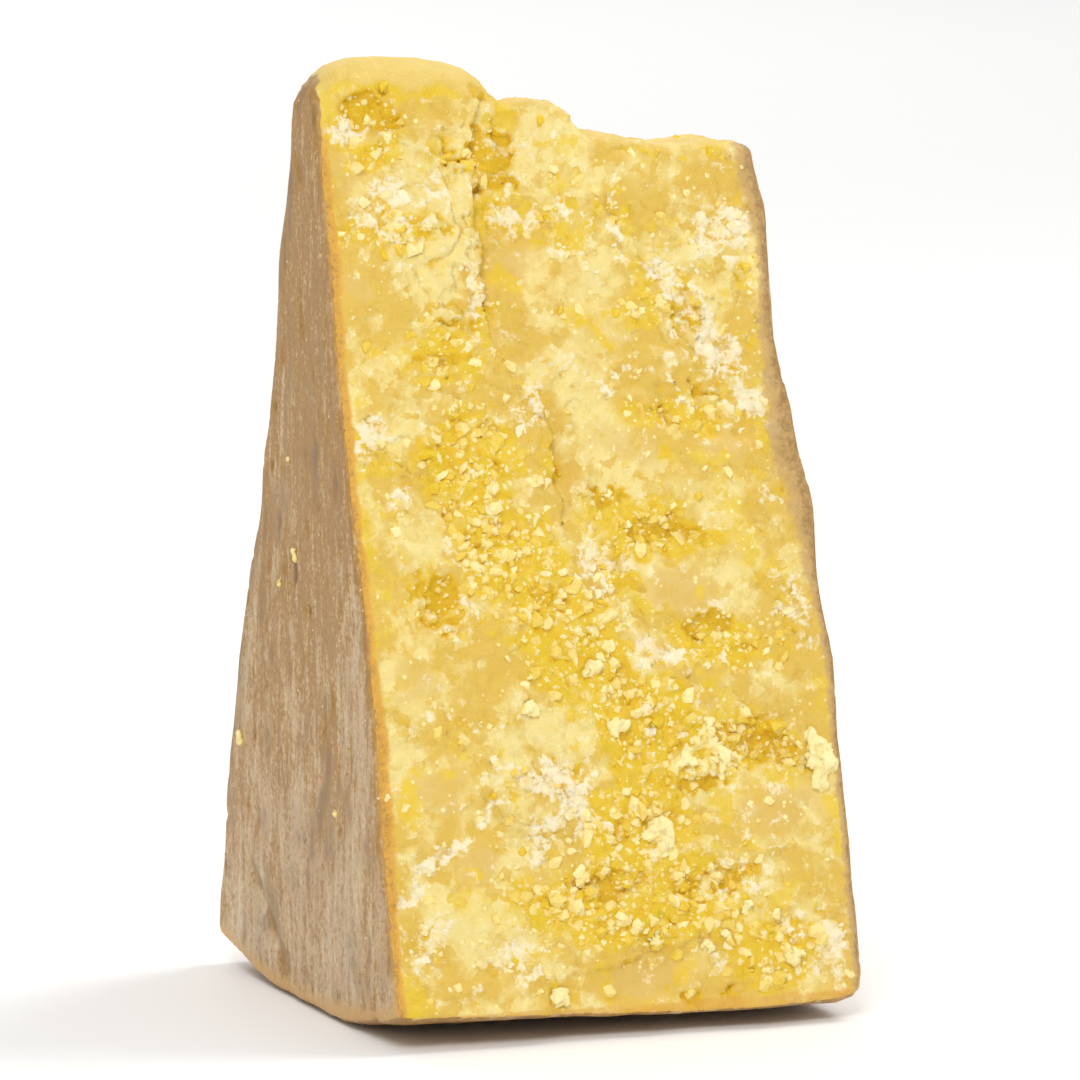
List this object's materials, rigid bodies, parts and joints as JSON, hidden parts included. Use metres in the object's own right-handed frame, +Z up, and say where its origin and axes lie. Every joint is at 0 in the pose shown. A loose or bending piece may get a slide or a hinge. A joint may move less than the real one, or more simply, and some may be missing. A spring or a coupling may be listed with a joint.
{
  "type": "aged hard cheese chunk",
  "caption": "Tall wedge of aged hard cheese standing on its curved outer rind, with flat rinds on both sides and crumbly broken faces.",
  "frame": {"origin": "middle of the chunk's box in X and Y, at the height of the table it stands on", "axes": "+Z up, from the outer rind towards the wheel's middle; +X along the wheel's axis, from the left flat rind to the right one; the broken front faces -Y"},
  "size_m": [0.0814, 0.0882, 0.154],
  "materials": {
    "cheese": "dry, crumbly yellow paste with pale crystals and chalky patches, and a smooth streaked tan-brown rind"
  },
  "bodies": {
    "root": {"cheese_chunk": "cheese"}
  },
  "joints": []
}
